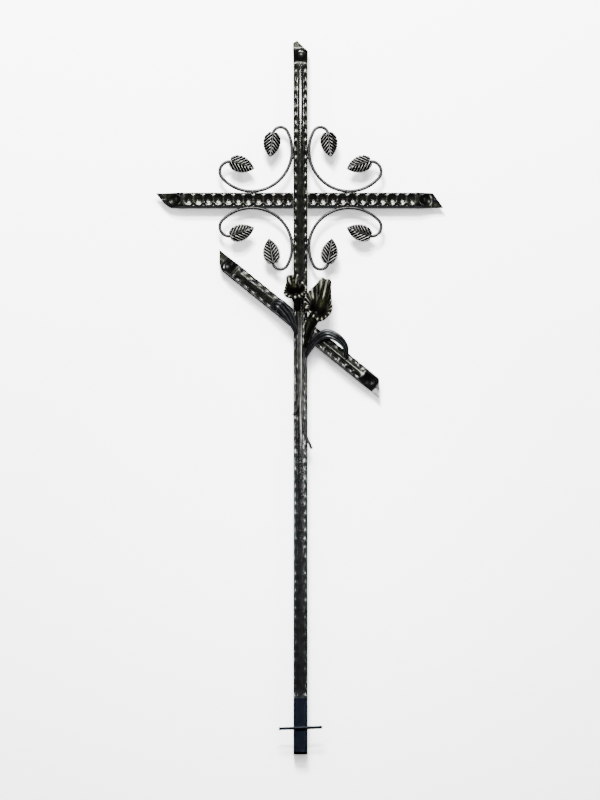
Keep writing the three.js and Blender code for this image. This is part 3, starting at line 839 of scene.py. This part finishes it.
# The long leaves' stations also have the leaf's width
blades = {
    "left": [
        (-12, 3, -30, 12), (-22, 10, -1, 24), (-38, 19, 28, 32), (-58, 23, 50, 32),
        (-74, 17, 56, 21), (-84, 8, 46, 3),
    ],
    "right": [
        (15, 3, -99, 11), (26, 8, -73, 21), (46, 16, -48, 24), (74, 22, -35, 27),
        (104, 24, -46, 25), (125, 20, -67, 20), (132, 13, -89, 12), (129, 6, -106, 3),
    ],
}
bladeStyle = dict(
    sheet=1.6 * mm, ribs=3, ribRise=0.035, midrib=0.9 * mm, midribHalf=0.10, arch=0.12
)


def bladeSurface(route):
    def pointAt(v):
        return onRoute(route, v)

    def surfaceAt(u, v):
        tangent = tangentAt(pointAt, v)
        side = tangent.cross(Vector((0, -1, 0))).normalized()
        rise = side.cross(tangent).normalized()
        width = smoothValue([station[3] for station in route], v) * mm
        across = 2 * u - 1
        rib = math.cos(math.pi * bladeStyle["ribs"] * across)
        midrib = bladeStyle["midrib"] * math.exp(-((across / bladeStyle["midribHalf"]) ** 2))
        lift = bladeStyle["ribRise"] * width * rib + midrib - bladeStyle["arch"] * width * across**2
        place = pointAt(v) + side * across * width / 2 + rise * lift
        return place, max(0.5 + 0.5 * rib, 1.0 if abs(across) > 0.9 else 0) * 0.9

    return surfaceAt


def makeBlade(name, route):
    bm = bentGrid(32, 90, bladeSurface(route), (0.03, 0.15))
    bmesh.ops.solidify(bm, geom=bm.faces[:], thickness=bladeStyle["sheet"])
    outwardFaces(bm)
    node = "long_leaf_" + name
    addPiece("longBlade_" + name, bm, node, ["blade"], sharpAngle=60)


for name, route in blades.items():
    makeBlade(name, route)
print("stems and long leaves made")


anchor = dict(
    radius=4.5 * mm, length=124 * mm, height=68 * mm, tilt=2.2, out=4 * mm,
    beads=(-12 * mm, -4 * mm, 9 * mm), beadSize=(5 * mm, 2 * mm, 2.2 * mm),
)


def makeAnchor():
    turn = math.radians(anchor["tilt"])
    middle = Vector((0, -tube["half"] - tube["gap"] - anchor["out"], anchor["height"]))
    along = Vector((math.cos(turn), 0, math.sin(turn))) * anchor["length"]

    def pointAt(v):
        return middle + along * (v - 0.5)

    surface = rodSurface(pointAt, lambda v: anchor["radius"], 3)
    bm = bentGrid(20, 60, surface, (0.025, anchor["length"]), wrapped=True)
    closeEnds(bm)
    for k, x in enumerate(anchor["beads"]):
        spot = middle + Vector((x, 2.2 * mm, anchor["radius"] * 0.9))
        addWeld(bm, spot, anchor["beadSize"], k)
    addPiece("anchorRod", bm, "anchor_rod", ["foot"])


makeAnchor()


# The camera is far off and a little under the cross, as the dark undersides of the bars show
camera = dict(
    elevation=-13, distance=80.0, target=Vector((-1.4 * mm, 0, 1032.4 * mm)), tall=2.2857,
    sensor=36, farthest=200,
)


def makeCamera():
    lens = bpy.data.cameras.new("viewCamera")
    lens.sensor_width = camera["sensor"]
    lens.lens = camera["sensor"] * camera["distance"] / camera["tall"]
    lens.clip_end = camera["farthest"]
    eye = addObject("viewCamera", lens)
    lift = math.radians(camera["elevation"])
    away = Vector((0, -math.cos(lift), math.sin(lift)))
    eye.location = camera["target"] + away * camera["distance"]
    eye.rotation_euler = (-away).to_track_quat("-Z", "Y").to_euler()
    bpy.context.scene.camera = eye


# The floor shows its front side only, and only to the camera
pale = dict(half=4.0, behind=24 * mm, middle=1.0, white=(5.0, 5.0, 5.0, 1), glow=0.4)


def makeFloor():
    bm = bmesh.new()
    bmesh.ops.create_grid(bm, x_segments=1, y_segments=1, size=pale["half"])
    place = Matrix.Translation((0, pale["behind"], pale["middle"]))
    place = place @ Matrix.Rotation(math.pi / 2, 4, "X")
    bmesh.ops.transform(bm, matrix=place, verts=bm.verts)
    shader = Shader(bpy.data.materials.new("paleFloor"))
    back = shader.node("ShaderNodeNewGeometry", {}, {}, output=6)
    clear = shader.node("ShaderNodeBsdfTransparent", {}, {})
    matt = shader.node("ShaderNodeBsdfDiffuse", {}, {"Color": pale["white"]})
    sockets = {"Color": (1, 1, 1, 1), "Strength": pale["glow"]}
    glow = shader.node("ShaderNodeEmission", {}, sockets)
    white = shader.node("ShaderNodeAddShader", {}, {0: matt, 1: glow})
    seen = shader.node("ShaderNodeLightPath", {}, {}, output=0)
    sockets = {0: (seen - back).clamped(), 1: clear, 2: white}
    surface = shader.node("ShaderNodeMixShader", {}, sockets)
    mesh = bpy.data.meshes.new("paleFloor")
    bm.to_mesh(mesh)
    bm.free()
    mesh.materials.append(shader.finish(surface))
    addObject("paleFloor", mesh)


lights = {
    "key": dict(place=(-0.5, -3.2, 4.1), aim=(0, 0, 1.3), size=(0.9, 0.5), power=130),
    "front": dict(place=(-0.3, -4.2, 3.75), aim=(0, 0, 1.3), size=(2.0, 0.6), power=150),
    "spot": dict(place=(0, -4.0, 2.87), aim=(0, 0, 1.95), size=(0.13, 0.08), power=3.4),
    "low": dict(
        place=(0.4, -4.0, 2.0), aim=(0, 0, 0.55), size=(0.8, 0.3), power=0.8, spread=26
    ),
    "left": dict(place=(-3.6, -2.2, 2.1), aim=(0, 0, 1.6), size=(0.3, 1.8), power=22),
    "right": dict(place=(3.4, -2.6, 2.1), aim=(0, 0, 1.6), size=(0.3, 1.8), power=24),
    "back": dict(place=(1.5, 3.2, 3.2), aim=(0, 0, 1.2), size=(1.2, 0.8), power=25),
    "rearRight": dict(place=(2.6, 3.0, 0.3), aim=(0, 0, 1.2), size=(2.4, 2.0), power=16),
    "rearLeft": dict(place=(-2.6, 3.0, 0.3), aim=(0, 0, 1.2), size=(2.4, 2.0), power=16),
}


def makeLights():
    for name, light in lights.items():
        lamp = bpy.data.lights.new(name, "AREA")
        lamp.shape = "RECTANGLE"
        lamp.size, lamp.size_y = light["size"]
        lamp.energy = light["power"]
        lamp.spread = math.radians(light.get("spread", 180))
        holder = addObject(name, lamp)
        holder.location = light["place"]
        aim = Vector(light["aim"]) - holder.location
        holder.rotation_euler = aim.to_track_quat("-Z", "Y").to_euler()


# The world is white to the camera, and a weak grey to everything else
def makeWorld():
    shader = Shader(bpy.data.worlds.new("studioWorld"))
    sockets = {"Color": (0.62, 0.64, 0.66, 1), "Strength": 0.18}
    around = shader.node("ShaderNodeBackground", {}, sockets)
    white = shader.node("ShaderNodeBackground", {}, {"Color": (1, 1, 1, 1)})
    seen = shader.node("ShaderNodeLightPath", {}, {})
    sky = shader.node("ShaderNodeMixShader", {}, {0: seen, 1: around, 2: white})
    bpy.context.scene.world = shader.finish(sky, "ShaderNodeOutputWorld")


makeCamera()
makeFloor()
makeLights()
makeWorld()
print("stage made")
